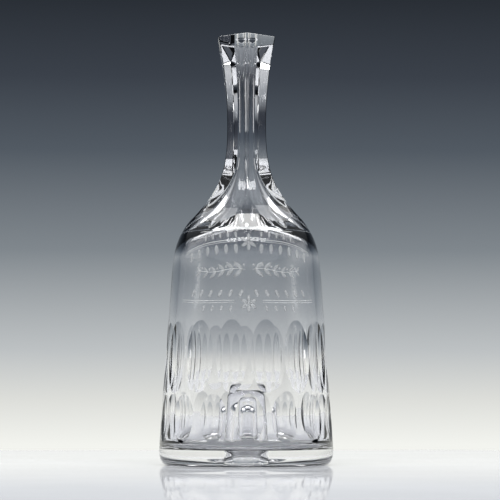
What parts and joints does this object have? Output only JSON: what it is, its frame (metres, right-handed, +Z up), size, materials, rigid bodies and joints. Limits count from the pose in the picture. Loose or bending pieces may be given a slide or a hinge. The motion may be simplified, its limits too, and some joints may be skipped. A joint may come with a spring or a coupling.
{
  "type": "bitters bottle",
  "caption": "Clear cut-glass bottle with a hollow-sliced neck, narrow bore, round shoulder, staggered tiers of oval cuts and a kick-up base, for shaking out drops.",
  "frame": {"origin": "centre of the foot, on the surface that the bottle stands on", "axes": "+Z up the bottle's axis to the mouth, -Y to the engraved front, +X to the right of the front"},
  "size_m": [0.0844, 0.0844, 0.21],
  "materials": {
    "glass": "polished"
  },
  "bodies": {
    "root": {"bottle": "glass"}
  },
  "joints": []
}
